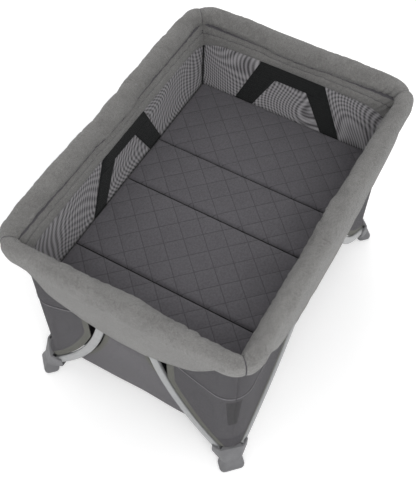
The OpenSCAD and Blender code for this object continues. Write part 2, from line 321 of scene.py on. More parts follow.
def quilted():
    """Smooth mattress cover with a diamond grid of fine stitching."""
    s = fabric("quilted_cover", srgb(84, 82, 86), srgb(102, 100, 104), pitch=0.0009, mottle=0.35,
               relief=0.00015, sheen=0.12)
    x, y, _ = s.xyz()
    stitch = None
    for sign in (1, -1):
        across = s.math("MULTIPLY", s.math("MULTIPLY_ADD", y, sign, x), math.sqrt(0.5))
        line = s.math("PINGPONG", s.math("ADD", across, 20 * QUILT), QUILT / 2)
        near = s.remap(line, 0.0003, 0.0019, 1, 0)
        length = s.math("MULTIPLY_ADD", y, -sign, x)
        dash = s.math("SINE", s.math("MULTIPLY", length, 2 * math.pi / 0.006))
        mark = s.math("MULTIPLY", near, s.remap(dash, -0.6, -0.2, 0.55, 1))
        stitch = mark if stitch is None else s.math("MAXIMUM", stitch, mark)
    base = s.surface.inputs["Base Color"].links[0].from_socket
    s.colour(s.mix(s.math("MULTIPLY", stitch, 0.62), base, srgb(44, 43, 46)))
    return s.material


def satin_metal():
    s = Shader("satin_metal", roughness=0.42, metallic=0.55, specular=0.5)
    grain = s.noise(260, 4)
    s.colour(s.mix(grain, srgb(140, 141, 142), srgb(168, 169, 170)))
    s.set(s.surface, "Roughness", s.remap(s.noise(40, 4), 0.3, 0.7, 0.36, 0.5))
    s.bump(grain, 0.00008, 0.5)
    return s.material


def plastic(name, dark, light, roughness=0.55):
    s = Shader(name, roughness=roughness, specular=0.4)
    grain = s.noise(1300, 2)
    wear = s.remap(s.noise(26, 4), 0.4, 0.75)
    s.colour(s.mix(s.math("MULTIPLY_ADD", grain, 0.5, s.math("MULTIPLY", wear, 0.5)), dark, light))
    s.set(s.surface, "Roughness", s.remap(s.noise(60, 3), 0.3, 0.7, roughness - 0.06, roughness + 0.1))
    s.bump(grain, 0.00015, 0.6)
    return s.material


MELANGE, TRIM, DARK, BLACK_CLOTH = melange(), trim(), dark_cloth(), black_cloth()
SEAM, SHEER, NET, QUILTED, METAL = seam_cloth(), sheer_cloth(), mesh_net(), quilted(), satin_metal()
STRAP = covered_strap()
GREY_PLASTIC = plastic("grey_plastic", srgb(98, 98, 100), srgb(122, 122, 124))
BLACK_PLASTIC = plastic("black_plastic", srgb(22, 22, 23), srgb(36, 36, 37))
RUBBER = plastic("sole_rubber", srgb(30, 30, 31), srgb(44, 44, 45), roughness=0.8)

# ---------------------------------------------------------------- mesh helpers


def piece(name, points, faces, materials, marks=None):
    """A mesh object. marks gives each face's material."""
    mesh = bpy.data.meshes.new(name)
    mesh.from_pydata([tuple(p) for p in np.asarray(points, float)], [], faces)
    for m in materials:
        mesh.materials.append(m)
    if marks is not None:
        mesh.polygons.foreach_set("material_index", marks)
    mesh.polygons.foreach_set("use_smooth", [True] * len(mesh.polygons))
    mesh.validate()
    o = bpy.data.objects.new(name, mesh)
    bpy.context.scene.collection.objects.link(o)
    return o


def grid(rows, cols, round_cols=False, start=0):
    """Faces of a grid of points, row by row."""
    last = cols if round_cols else cols - 1
    return [(start + r * cols + c, start + r * cols + (c + 1) % cols,
             start + (r + 1) * cols + (c + 1) % cols, start + (r + 1) * cols + c)
            for r in range(rows - 1) for c in range(last)]


def outward(o):
    """Turns the faces of a closed mesh outwards."""
    b = bmesh.new()
    b.from_mesh(o.data)
    bmesh.ops.recalc_face_normals(b, faces=b.faces)
    b.to_mesh(o.data)
    b.free()
    return o


def thicken(o, thickness):
    """Gives a sheet its thickness, half of it to each side, and applies that to the mesh."""
    m = o.modifiers.new("thickness", "SOLIDIFY")
    m.thickness, m.offset, m.use_even_offset = thickness, 0.0, False
    graph = bpy.context.evaluated_depsgraph_get()
    mesh = bpy.data.meshes.new_from_object(o.evaluated_get(graph))
    o.modifiers.clear()
    o.data = mesh


def soften(o):
    m = o.modifiers.new("soften", "SUBSURF")
    m.levels = m.render_levels = 1


def normals(o):
    o.data.update()
    n = np.empty(len(o.data.vertices) * 3)
    o.data.vertices.foreach_get("normal", n)
    return n.reshape(-1, 3)


def coordinates(o):
    p = np.empty(len(o.data.vertices) * 3)
    o.data.vertices.foreach_get("co", p)
    return p.reshape(-1, 3)


def move(o, points):
    o.data.vertices.foreach_set("co", np.asarray(points, np.float32).ravel())
    o.data.update()


def noise_at(points, scale, shift=0.0):
    """Smooth noise at each of the points, from -1 to 1."""
    return np.array([noise.noise(Vector((x * scale + shift, y * scale, z * scale)))
                     for x, y, z in points])


def folds(points):
    """Narrow creases, 1 along their middle and 0 between them, with gaps here and there."""
    crease = np.exp(-(noise_at(points * 0.55, 1.0, 11.0) / 0.26) ** 2)
    return crease * np.clip(noise_at(points * 0.23, 1.0, 23.0) * 2.5 + 0.9, 0, 1)


def swell(pieces, frames=14):
    """Cloth simulation of padded pieces, all at once: each fills out under pressure and is cut a little
    too large, so it wrinkles. pieces gives (object, weights that hold its points, pressure, growth,
    most that a point moves)."""
    scene = bpy.context.scene
    for o, weights, pressure, growth, _ in pieces:
        group = o.vertex_groups.new(name="held")
        for i, w in enumerate(weights):
            if w > 0:
                group.add([i], float(w), "REPLACE")
        m = o.modifiers.new("cloth", "CLOTH")
        m.point_cache.frame_start, m.point_cache.frame_end = 1, frames
        s = m.settings
        s.quality, s.mass, s.air_damping = 4, 0.25, 4
        s.tension_stiffness = s.compression_stiffness = 18
        s.shear_stiffness, s.bending_stiffness = 9, 0.35
        s.vertex_group_mass = "held"
        s.use_pressure, s.uniform_pressure_force = True, pressure
        s.shrink_min = -growth
        s.effector_weights.gravity = 0
        m.collision_settings.use_collision = False
    for f in range(1, frames + 1):
        scene.frame_set(f)
    graph = bpy.context.evaluated_depsgraph_get()
    for o, _, _, _, most in pieces:
        rest = coordinates(o)
        moved = np.array([v.co for v in o.evaluated_get(graph).data.vertices], float)
        step = moved - rest
        length = np.linalg.norm(step, axis=1, keepdims=True)
        limited = most * np.tanh(length / most)
        o.modifiers.clear()
        o.vertex_groups.clear()
        move(o, rest + step / np.maximum(length, 1e-9) * limited)
    scene.frame_set(1)


def smooth_loop(points, count):
    """A closed Catmull-Rom curve through points, as count points."""
    p = np.asarray(points, float)
    n = len(p)
    out = []
    for t in np.arange(count) / count * n:
        i, f = int(t), t - int(t)
        a, b, c, d = (p[(i + k) % n] for k in (-1, 0, 1, 2))
        bend = (2 * a - 5 * b + 4 * c - d) * f ** 2 + (3 * b - a - 3 * c + d) * f ** 3
        out.append(0.5 * (2 * b + (c - a) * f + bend))
    return np.array(out)


def bell(x, width):
    """1 at 0, and almost 0 at twice the width from it."""
    return np.exp(-(np.asarray(x, float) / width) ** 2)


def perimeter(nx, ny):
    """Columns and rows (i, j) round the edge of a grid of points, in order."""
    edge = [(i, 0) for i in range(nx)] + [(nx - 1, j) for j in range(1, ny)]
    return edge + [(i, ny - 1) for i in range(nx - 2, -1, -1)] + [(0, j) for j in range(ny - 2, 0, -1)]


# ---------------------------------------------------------------- camera, light and floor

# Where the photograph was taken from: heading clockwise from +Y, pitch below level and roll, in degrees.
CAMERA_AT = (-1.322, -0.692, 2.607)
CAMERA_TURN = (61.31, 56.47, 1.156)
LENS, SENSOR = 59.65, 36
# The floor goes this far to each side.
FLOOR_REACH = 14


def add_camera():
    """The photograph's view: from the front left, looking steeply down."""
    heading, down, roll = (math.radians(a) for a in CAMERA_TURN)
    reach = math.cos(down)
    forward = Vector((math.sin(heading) * reach, math.cos(heading) * reach, -math.sin(down)))
    level = forward.cross(Vector((0, 0, 1))).normalized()
    over = level.cross(forward)
    right = level * math.cos(roll) + over * math.sin(roll)
    up = right.cross(forward)
    data = bpy.data.cameras.new("camera")
    data.lens, data.sensor_width = LENS, SENSOR
    camera = bpy.data.objects.new("camera", data)
    turned = Matrix((right, up, -forward)).transposed().to_4x4()
    camera.matrix_world = Matrix.Translation(Vector(CAMERA_AT)) @ turned
    bpy.context.scene.collection.objects.link(camera)
    bpy.context.scene.camera = camera


def add_light(name, position, size, power):
    """Square soft light that faces the middle of the cot."""
    data = bpy.data.lights.new(name, "AREA")
    data.size, data.energy = size, power
    light = bpy.data.objects.new(name, data)
    light.location = position
    light.rotation_mode = "QUATERNION"
    light.rotation_quaternion = (Vector(position) - Vector((0, 0, 0.4))).to_track_quat("Z", "Y")
    bpy.context.scene.collection.objects.link(light)


def add_stage():
    """White studio: an even surround, a soft light from the camera's side, a fill and the floor."""
    world = bpy.data.worlds.new("studio")
    world.use_nodes = True
    world.node_tree.nodes["Background"].inputs[0].default_value = (1, 1, 1, 1)
    world.node_tree.nodes["Background"].inputs[1].default_value = 0.75
    bpy.context.scene.world = world
    add_light("key", (-2.0, -1.6, 3.2), 2.2, 55)
    add_light("fill", (2.4, 1.8, 2.8), 2.6, 22)
    s = Shader("floor", roughness=0.9, specular=0.1)
    s.colour(s.mix(s.noise(3, 2), srgb(246, 246, 246), srgb(250, 250, 250)))
    s.set(s.surface, "Emission Color", (1, 1, 1, 1))
    s.set(s.surface, "Emission Strength", 0.25)
    corners = [(x * FLOOR_REACH, y * FLOOR_REACH, 0) for x, y in ((-1, -1), (1, -1), (1, 1), (-1, 1))]
    floor = piece("floor", corners, [(0, 1, 2, 3)], [s.material])
    view = bpy.context.scene.view_settings
    view.view_transform, view.look = "Standard", "None"


# ---------------------------------------------------------------- rim

# Outline of the padded rim as shares of its width, from outside in, and of its height, from below.
RIM_OUTLINE = [(0.0, 0.46), (0.03, 0.72), (0.17, 0.93), (0.38, 1.0), (0.62, 0.95), (0.84, 0.81),
               (0.98, 0.62), (1.0, 0.47), (0.89, 0.33), (0.66, 0.15), (0.36, 0.04), (0.1, 0.1),
               (0.01, 0.25)]
RIM_RINGS, RIM_AROUND = 190, 46
# Radius of the rim's outer edge at the corners.
CORNER_ROUND = 0.09
# The rim gets slimmer towards its corners, and once more at the mitre's seam.
CORNER_SLIM, SEAM_SLIM = 0.14, 0.07
# Width of the strip at the mitre that is painted dark: painted shade in the groove where the two covers meet.
MITRE_SHADE_STRIP = 0.0018
# How much the rim sinks at its corners and in the middle of a side.
CORNER_SINK, MIDDLE_SINK = 0.006, 0.004
# The hub plate pushes the fabric in by this much, over this distance to each side.
HUB_BULGE, HUB_REACH = 0.009, 0.092
# Cloth simulation of the rim: pressure, spare cloth, and the most that a point may move.
RIM_PRESSURE, RIM_SPARE, RIM_MOST = 2.6, 0.05, 0.006
# Depth of the rim's slow waves, long and short, and of its puckers.
LONG_WAVE, SHORT_WAVE, RIM_PUCKER = 0.0022, 0.0011, 0.0055


def hub_bulge(u):
    """How far the fabric is pushed in by the hub plate behind it."""
    return HUB_BULGE * math.exp(-(u / HUB_REACH) ** 4)


def rim_path(side, s, depth):
    """u and v of a point of the rim, s along its outer edge and depth in from it. The end of the path
    turns through half of the rounded corner, to the mitre."""
    straight = HALF[side] - CORNER_ROUND
    turn = min(max((s - straight) / CORNER_ROUND, 0), math.pi / 4)
    r = CORNER_ROUND - depth
    return min(s, straight) + r * math.sin(turn), RIM_OUTER + CORNER_ROUND - r * math.cos(turn)


def rim_cover(side, end):
    """Padded cover of one half-rail, from the middle of the side to the mitre at the corner, and how
    firmly each of its points is held: at its foot, at the mitre and along its inner edge."""
    sign = -1 if end == 0 else 1
    loop = smooth_loop(RIM_OUTLINE, RIM_AROUND)
    centre = loop.mean(axis=0)
    length = HALF[side] - CORNER_ROUND + CORNER_ROUND * math.pi / 4
    rows = []
    steps = np.append(np.linspace(0, length - MITRE_SHADE_STRIP, RIM_RINGS - 1), length)
    for s in steps:
        from_end = length - s
        slim = CORNER_SLIM * bell(from_end, 0.14) + SEAM_SLIM * bell(from_end, 0.008)
        shape = centre + (loop - centre) * (1 - slim)
        shape[:, 0] += hub_bulge(s) / RIM_WIDTH * np.clip((shape[:, 0] - 0.55) / 0.3, 0, 1)
        sink = CORNER_SINK * bell(from_end, 0.05) + MIDDLE_SINK * bell(s, 0.2)
        z = RIM_BOTTOM + shape[:, 1] * (RIM_TOP - RIM_BOTTOM) - sink
        for (across, _), level in zip(shape, z):
            u, v = rim_path(side, s, across * RIM_WIDTH)
            rows.append((sign * u, v, level))
    points = place(side, rows)
    faces = grid(RIM_RINGS, RIM_AROUND, round_cols=True)
    last = (RIM_RINGS - 1) * RIM_AROUND
    faces += [tuple(range(RIM_AROUND)), tuple(reversed(range(last, last + RIM_AROUND)))]
    # The strip at the mitre and both flat ends take the dark cloth: painted shade in the groove at the mitre.
    marks = [1 if f >= last - RIM_AROUND else 0 for f in range(len(faces))]
    o = outward(piece(f"{side}_{ENDS[side][end]}_rim_cover", points, faces, [MELANGE, DARK], marks))
    height = np.tile(loop[:, 1], RIM_RINGS)
    inside = np.tile(loop[:, 0], RIM_RINGS)
    s = np.repeat(steps, RIM_AROUND)
    held = np.clip(1.5 - height / 0.3, 0, 1)
    held = np.maximum(held, bell(length - s, 0.006))
    held = np.maximum(held, 0.8 * bell(inside - 1.0, 0.06) * (height < 0.5))
    return o, held


def join_middle(first, second):
    """Brings the two halves of a side's cover together where they meet, without a step or a gap."""
    a, b = coordinates(first), coordinates(second)
    middle_ring = (a[:RIM_AROUND] + b[:RIM_AROUND]) / 2
    for o, points in ((first, a), (second, b)):
        shift = middle_ring - points[:RIM_AROUND]
        fade = np.repeat(bell(np.arange(RIM_RINGS), 5), RIM_AROUND)[:, None]
        move(o, points + np.tile(shift, (RIM_RINGS, 1)) * fade)


def wrinkle_rim(o, side, seed):
    """Slow waves all along, and puckers where the cover is sewn along its inner edge. Nothing moves
    along the side near its middle, so the two halves stay joined."""
    p, n = coordinates(o), normals(o)
    u, z = u_of(side, p), p[:, 2]
    n[:RIM_AROUND] = n[RIM_AROUND:2 * RIM_AROUND]
    n -= np.outer(u_of(side, n), along(side)) * bell(u, 0.02)[:, None]
    slow = LONG_WAVE * noise_at(p, 9, seed) + SHORT_WAVE * noise_at(p, 24, seed + 5)
    low = np.clip((RIM_TOP - 0.012 - z) / 0.03, 0, 1) * np.clip((z - RIM_BOTTOM - 0.02) / 0.012, 0, 1)
    stretched = np.column_stack([u * 80 + z * 50, z * 9, np.full(len(p), seed)])
    v = PLANE[side] + p @ inward(side)
    inner = np.clip((v - RIM_OUTER) / RIM_WIDTH * 2 - 0.8, 0, 1)
    pucker = 0.3 * noise_at(stretched, 1.0) - 1.3 * folds(stretched) * inner
    patch = np.clip(noise_at(np.column_stack([u, u * 0, u * 0]), 7, seed + 9) + 0.55, 0, 1)
    depth = slow + RIM_PUCKER * pucker * low * patch
    move(o, p + n * depth[:, None])


def keep_sharp(o):
    """Keeps the flat ends of a cover flat when it is smoothed."""
    ends = {tuple(sorted(e)) for f in o.data.polygons if len(f.vertices) > 4 for e in f.edge_keys}
    crease = o.data.attributes.new("crease_edge", "FLOAT", "EDGE")
    sharp = o.data.attributes.get("sharp_edge") or o.data.attributes.new("sharp_edge", "BOOLEAN", "EDGE")
    for i, e in enumerate(o.data.edges):
        if tuple(sorted(e.vertices)) in ends:
            crease.data[i].value = 1.0
            sharp.data[i].value = True


def add_rim():
    made = [(side, end, *rim_cover(side, end)) for side in SIDES for end in (0, 1)]
    swell([(o, held, RIM_PRESSURE, RIM_SPARE, RIM_MOST) for _, _, o, held in made])
    for first, second in zip(made[::2], made[1::2]):
        join_middle(first[2], second[2])
    for side, end, o, _ in made:
        wrinkle_rim(o, side, 3.0 + 7 * SIDES.index(side))
        keep_sharp(o)
        soften(o)
        rail = f"{side}_{ENDS[side][end]}_rail"
        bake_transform(o)
        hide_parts(rail.replace("_rail", "_pad"))


# ---------------------------------------------------------------- skirts

# A skirt's lower edge is this much further in than its top.
SKIRT_TUCK = 0.021
# How far the ends of a skirt are tucked in, and over which length.
SKIRT_END = (0.014, 0.07)
# Thickness of the sheets that hang from a side's hub.
HANGING_SHEET = 0.0016


def skirt_reach(side):
    """Half the length of the skirt."""
    low, high = SKIRT[side]
    return max(high[0] - low[0], high[1] - low[1]) / 2


def skirt_edge(side, u):
    """Height of the skirt's lower edge: one arc, lowest in the middle, which runs out under the rim."""
    reach, low = skirt_reach(side), SKIRT[side][0][2]
    rim = RIM_BOTTOM + 0.008
    share = min(abs(u) / (reach + 0.05), 1)
    return low + (rim - low) * (1 - (1 - share ** 2) ** 0.9)


def hang(o, side, replaced):
    """Thickens a flat piece of a side and hangs it on the side's hub, so that it rides on the hub."""
    p = coordinates(o)
    thicken(o, HANGING_SHEET)
    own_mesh(o)
    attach(o, f"{side}_hub")
    if replaced:
        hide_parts(replaced)


def add_skirt(side):
    """Skirt that drops from the rim's outer face and tucks in towards the legs."""
    cols, rows = 150, 34
    top = RIM_BOTTOM + 0.034
    deepest = top - SKIRT[side][0][2]
    reach = skirt_reach(side) + 0.04
    points = []
    for t in np.linspace(0, 1, rows):
        for u in np.linspace(-reach, reach, cols):
            low = skirt_edge(side, u)
            z = top + (low - top) * t
            drop = (top - z) / deepest
            belly = 0.004 * math.sin(math.pi * min(t * 1.1, 1)) * (top - low) / deepest
            hem = 0.0014 * bell((z - low - 0.010), 0.0022)
            ends = SKIRT_END[0] * max(abs(u) - reach + SKIRT_END[1], 0) / SKIRT_END[1]
            points.append((u, RIM_OUTER + 0.002 + SKIRT_TUCK * drop - belly + hem + ends, z))
    o = piece(f"{side}_skirt_cover", place(side, points), grid(rows, cols), [MELANGE])
    p = coordinates(o)
    u, z = u_of(side, p), p[:, 2]
    drape = 0.0018 * noise_at(np.column_stack([u * 20, z * 5, u * 0 + SIDES.index(side)]), 1.0)
    fade = np.clip((top - z) / 0.03, 0, 1)
    gathers = noise_at(np.column_stack([u * 70, z * 12, u * 0 + 4]), 1.0)
    pucker = 0.0015 * gathers * bell(z - top + 0.02, 0.03)
    move(o, p - np.outer((drape + pucker) * fade, inward(side)))
    hang(o, side, f"{side}_skirt")


# ---------------------------------------------------------------- inner walls

# The band hangs from a crease under the rim, where it is tucked in outwards and up, down to the mesh.
BAND_CREASE = RIM_BOTTOM + 0.025
BAND_CREASE_V = RIM_OUTER + 0.84 * RIM_WIDTH
BAND_TUCK_OUT, BAND_TUCK_UP = 0.014, 0.010
BAND_LOW = RIM_BOTTOM - 0.030
# A seam runs along the band, at this share of its slope.
BAND_SEAM = 0.42
# How far the band stands out from its straight slope, and the depth of its puckers.
BAND_PUFF, BAND_PUCKER = 0.008, 0.006
# v of the mesh wall's inner face at its foot and at its top.
WALL_FOOT_V = {s: 0.032 if s in LONG else 0.038 for s in SIDES}
WALL_TOP_V = {s: 0.030 if s in LONG else 0.026 for s in SIDES}


def wall_v(side, z):
    """How far in the wall is at height z."""
    share = min(max((z - BASSINET_LOW) / (BAND_LOW - BASSINET_LOW), 0), 1)
    return WALL_FOOT_V[side] + (WALL_TOP_V[side] - WALL_FOOT_V[side]) * share


def other_side(side):
    """The next side round the corner."""
    return SIDES[(SIDES.index(side) + 1) % 4]


def wall_end(side, z, inset=0.0):
    """u of the wall's end, at the wall of the next side."""
    return ACROSS[side] - wall_v(other_side(side), z) - inset


def band_low(side, u):
    """Height of the band's lower edge, which drops in a curve at the corners."""
    end = wall_end(side, BAND_LOW)
    from_corner = max(end - abs(u), 0)
    drop = 0.026 * math.exp(-(from_corner / 0.045) ** 1.4)
    return BAND_LOW - drop + 0.006 * (1 - (abs(u) / end) ** 2)


def add_band(side):
    """Woven band that slopes from the crease under the rim down to the mesh, a little puffy."""
    cols, rows = 300, 30
    lengthwise = np.linspace(-1, 1, cols)
    tuck_v = BAND_CREASE_V - BAND_TUCK_OUT
    points = [(share * (ACROSS[side] - tuck_v), tuck_v, BAND_CREASE + BAND_TUCK_UP)
              for share in lengthwise]
    slope = np.linspace(0, 1, rows - 1)
    for t in slope:
        for share in lengthwise:
            foot_u = share * wall_end(side, BAND_LOW, 0.002)
            low = band_low(side, foot_u)
            z = BAND_CREASE + (low - BAND_CREASE) * t
            foot_v = wall_v(side, low) + 0.0015
            v = BAND_CREASE_V + (foot_v - BAND_CREASE_V) * t ** 0.8
            v += BAND_PUFF * math.sin(math.pi * t) ** 0.6 - 0.0035 * bell(t - BAND_SEAM, 0.07)
            v += hub_bulge(foot_u) * (1 - t)
            crease_u = share * (ACROSS[side] - BAND_CREASE_V - 0.002)
            points.append((crease_u + (foot_u - crease_u) * t ** 0.8, v, z))
    # The top three rows are painted dark: painted shade under the rim. One row along the seam is dark as well.
    stitched = {r for r in range(rows - 1) if r < 3 or abs((r - 0.5) / (rows - 2) - BAND_SEAM) < 0.02}
    marks = [1 if r in stitched else 0 for r in range(rows - 1) for _ in range(cols - 1)]
    o = piece(f"{side}_inner_band", place(side, points), grid(rows, cols), [MELANGE, DARK], marks)
    p = coordinates(o)
    u, z = u_of(side, p), p[:, 2]
    t = np.repeat(np.concatenate([[0], slope]), cols)
    stretched = np.column_stack([u * 80 + z * 60, z * 14, u * 0 + SIDES.index(side) * 3])
    pucker = 0.6 * noise_at(stretched, 1.0) - 0.8 * folds(stretched)
    depth = BAND_PUCKER * pucker * np.sin(np.pi * np.clip(t, 0, 1)) ** 0.5 * (1 - 0.6 * t)
    move(o, p + np.outer(depth, inward(side)))
    hang(o, side, None)


def add_net(side):
    """Mesh wall, from the mattress up to the band."""
    cols, rows = 60, 24
    low = BASSINET_LOW + 0.003
    points = []
    for z in np.linspace(low, BAND_LOW + 0.008, rows):
        end = wall_end(side, z, 0.001)
        for share in np.linspace(-1, 1, cols):
            bulge = 0.002 * (1 - share ** 2) * math.sin(math.pi * (z - low) / (BAND_LOW - low + 0.008))
            points.append((share * end, wall_v(side, z) - bulge, z))
    o = piece(f"{side}_mesh", place(side, points), grid(rows, cols), [NET])
    hang(o, side, f"{side}_wall")


def add_piping(side):
    """Black piping that binds the corner where this wall meets the next one."""
    rows, around, r = 30, 10, 0.0026
    points = []
    for z in np.linspace(BASSINET_LOW + 0.004, BAND_LOW - 0.024, rows):
        u, v = wall_end(side, z, 0.003), wall_v(side, z) + 0.003
        for a in np.arange(around) * 2 * math.pi / around:
            points.append((u + r * math.cos(a), v + r * math.sin(a), z))
    faces = grid(rows, around, round_cols=True)
    faces += [tuple(range(around)), tuple(reversed(range((rows - 1) * around, rows * around)))]
    o = outward(piece(f"{side}_corner_piping", place(side, points), faces, [BLACK_CLOTH]))
    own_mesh(o)
    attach(o, f"{side}_hub")


# Black cover over the hub and the tops of the legs: a bar with two splayed strips. The bar's edges
# from the band's lower edge, and u of a strip's outer and inner edge at its top and foot.
COVER_TOP, COVER_BAR = 0.016, 0.052
COVER_OUTER = (0.112, 0.205)
COVER_INNER = (0.058, 0.136)


def add_hub_cover(side):
    """Black fabric on the mesh wall, in front of the hub."""
    top, bar = BAND_LOW + COVER_TOP, BAND_LOW - COVER_BAR
    low = MATTRESS_TOP - 0.02
    rows, cols = 26, 7
    points, faces = [], []

    def strip(left, right, z_high, z_low):
        start = len(points)
        for t in np.linspace(0, 1, rows):
            z = z_high + (z_low - z_high) * t
            a, b = left(z), right(z)
            for c in np.linspace(0, 1, cols):
                edge = 0.0007 * math.sin(math.pi * c) ** 0.3
                points.append((a + (b - a) * c, wall_v(side, z) + 0.0012 + edge, z))
        faces.extend(grid(rows, cols, start=start))

    def outer(z):
        return COVER_OUTER[0] + (COVER_OUTER[1] - COVER_OUTER[0]) * (top - z) / (top - low)

    def inner(z):
        return COVER_INNER[0] + (COVER_INNER[1] - COVER_INNER[0]) * (bar - z) / (bar - low)

    strip(lambda z: -outer(z), outer, top, bar)
    strip(inner, outer, bar, low)
    strip(lambda z: -outer(z), lambda z: -inner(z), bar, low)
    o = piece(f"{side}_hub_cover", place(side, points), faces, [BLACK_CLOTH])
    b = bmesh.new()
    b.from_mesh(o.data)
    bmesh.ops.remove_doubles(b, verts=b.verts, dist=0.0002)
    b.to_mesh(o.data)
    b.free()
    hang(o, side, None)


# ---------------------------------------------------------------- lower fabric and floors

# Gap between a leg and the fabric beside it, and height of a hem.
LEG_CLEAR = 0.004
HEM = 0.014
# A lower panel leans in by this much at its hem, and is upright from this height on.
PANEL_LEAN, PANEL_LEAN_TOP = 0.036, 0.470
# Its hem rises this much in the middle, and webbing of this width runs by each leg.
HEM_ARCH = 0.012
PANEL_WEBBING = 0.017


def add_lower_panel(side):
    """Opaque panel between the legs of a side, with webbing by each leg and a hem at the bottom."""
    cols, rows = 60, 44
    webbing = 4
    top = SKIRT[side][0][2] + 0.05
    points = []
    for t in np.linspace(0, 1, rows):
        z = SIDE_PANEL_LOW + (top - SIDE_PANEL_LOW) * t
        end = leg_u(side, z, -(LEG_WIDTH / 2 + LEG_CLEAR))
        inner = max(end - PANEL_WEBBING, 0.01)
        across = np.concatenate([np.linspace(-end, -inner, webbing),
                                 np.linspace(-inner, inner, cols)[1:-1],
                                 np.linspace(inner, end, webbing)])
        for u in across:
            mid = 1 - (u / end) ** 2
            lean = PANEL_LEAN * max(PANEL_LEAN_TOP - z, 0) / (PANEL_LEAN_TOP - SIDE_PANEL_LOW)
            hem = 0.0012 * bell(z - SIDE_PANEL_LOW - HEM, 0.0035)
            arch = HEM_ARCH * mid * (1 - t) ** 3
            points.append((u, lean + hem - 0.001 + 0.003 * mid * math.sin(math.pi * t), z + arch))
    strips, edge = len(across) - 1, webbing - 1
    marks = [1 if c < edge or c >= strips - edge else 0 for c in range(strips)] * (rows - 1)
    o = piece(f"{side}_lower_panel", place(side, points), grid(rows, len(across)), [DARK, TRIM], marks)
    p = coordinates(o)
    move(o, p + np.outer(0.0025 * noise_at(p, 7, SIDES.index(side) * 5.0), inward(side)))
    hang(o, side, None)


CORNER_LOW, CORNER_TOP = FOOT_TOP + 0.006, RIM_BOTTOM + 0.005
CORNER_ROWS, CORNER_COLS = 90, 34
# Radius of the fabric round a corner, and its thickness.
CORNER_RADIUS = 0.085
CORNER_SHEET = 0.0012
# The two corner panels of a side keep this far from its middle.
MIDDLE_CLEAR = 0.135
# Width of the webbing by the leg, and its columns of points.
WEBBING, WEBBING_COLS = 0.024, 5
# Strap inside each corner, which shows through the sheer panel.
STRAP_HALF, STRAP_LOW, STRAP_TOP = 0.025, 0.27, 0.44
# Half the width of the seam across a corner panel, and how far it stands out.
SMILE_HALF = 0.0022


def corner_row(side, next_one, z):
    """Points (u, v, z) of a corner panel at height z, from the leg to the middle of the corner, and
    how many of its columns are over the strap."""
    offset = LEG_WIDTH / 2 + LEG_CLEAR
    start = max(leg_u(side, z, offset), MIDDLE_CLEAR)
    near = ACROSS[side] - start
    far = ACROSS[next_one] - max(leg_u(next_one, z, offset), MIDDLE_CLEAR)
    r = min(CORNER_RADIUS, 0.92 * min(near, far))
    straight = near - r
    length = straight + r * math.pi / 4
    webbing = min(WEBBING, length * 0.7)
    beyond = np.linspace(webbing, length, CORNER_COLS - WEBBING_COLS + 1)[1:]
    slack = 0.0035 * math.sin(math.pi * min((z - CORNER_LOW) / (CORNER_TOP - CORNER_LOW) * 1.2, 1))
    row = []
    for s in np.concatenate([np.linspace(0, webbing, WEBBING_COLS), beyond]):
        a = max(s - straight, 0) / r
        loose = slack * math.sin(math.pi * min(s / length, 1))
        raised = -0.0012 if s <= webbing else 0.0
        row.append((start + min(s, straight) + r * math.sin(a), r - r * math.cos(a) + loose + raised, z))
    return row, round(STRAP_HALF * (CORNER_COLS - WEBBING_COLS) / (length - webbing))


def smile(surface):
    """Raised seam across a corner panel, lowest in the middle of the corner: rows of points."""
    line = []
    for edge in (-SMILE_HALF, SMILE_HALF):
        across = []
        for c in range(WEBBING_COLS - 1, CORNER_COLS):
            share = (c - WEBBING_COLS + 1) / (CORNER_COLS - WEBBING_COLS)
            z = BASSINET_LOW - 0.012 + 0.085 * (1 - share) ** 1.8 + edge
            column = surface[:, c]
            i = int(np.clip(np.searchsorted(column[:, 2], z), 1, CORNER_ROWS - 1))
            f = (z - column[i - 1, 2]) / (column[i, 2] - column[i - 1, 2])
            q = column[i - 1] + (column[i] - column[i - 1]) * f
            across.append((q[0], q[1] - SMILE_HALF, q[2]))
        line.append(across)
    return np.array(line)


def corner_marks(heights, strap_columns):
    """Material of each face of a corner panel: sheer cloth, webbing, or sheer cloth over the strap."""
    def mark(z, c):
        strapped = c >= CORNER_COLS - 1 - strap_columns and STRAP_LOW < z < STRAP_TOP
        return 1 if c < WEBBING_COLS - 1 else 3 if strapped else 0

    return [mark(z, c) for z in heights[:-1] for c in range(CORNER_COLS - 1)]


def add_corner_panel(side, end):
    """Half of a corner's fabric, from this side's leg to the middle of the corner."""
    sign = -1 if end == 0 else 1
    next_one = SIDES[(SIDES.index(side) + sign) % 4]
    heights = np.linspace(CORNER_LOW, CORNER_TOP, CORNER_ROWS)
    rows = [corner_row(side, next_one, z) for z in heights]
    surface = np.array([row for row, _ in rows]) * (sign, 1, 1)
    strap_columns = [count for (_, count), z in zip(rows, heights) if z < STRAP_TOP][-1]
    ribbon = smile(surface)
    faces = grid(CORNER_ROWS, CORNER_COLS) + grid(*ribbon.shape[:2], start=CORNER_ROWS * CORNER_COLS)
    marks = corner_marks(heights, strap_columns) + [2] * (ribbon.shape[1] - 1)
    points = place(side, np.concatenate([surface.reshape(-1, 3), ribbon.reshape(-1, 3)]))
    o = piece(f"{side}_{ENDS[side][end]}_corner_panel_cover", points, faces,
              [SHEER, TRIM, SEAM, STRAP], marks)
    thicken(o, CORNER_SHEET)
    foot = f"{side}_{ENDS[side][end]}_foot" if side in LONG else f"{ENDS[side][end]}_{side}_foot"
    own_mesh(o)
    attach(o, foot)
    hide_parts(foot.replace("_foot", "_corner_panel"))


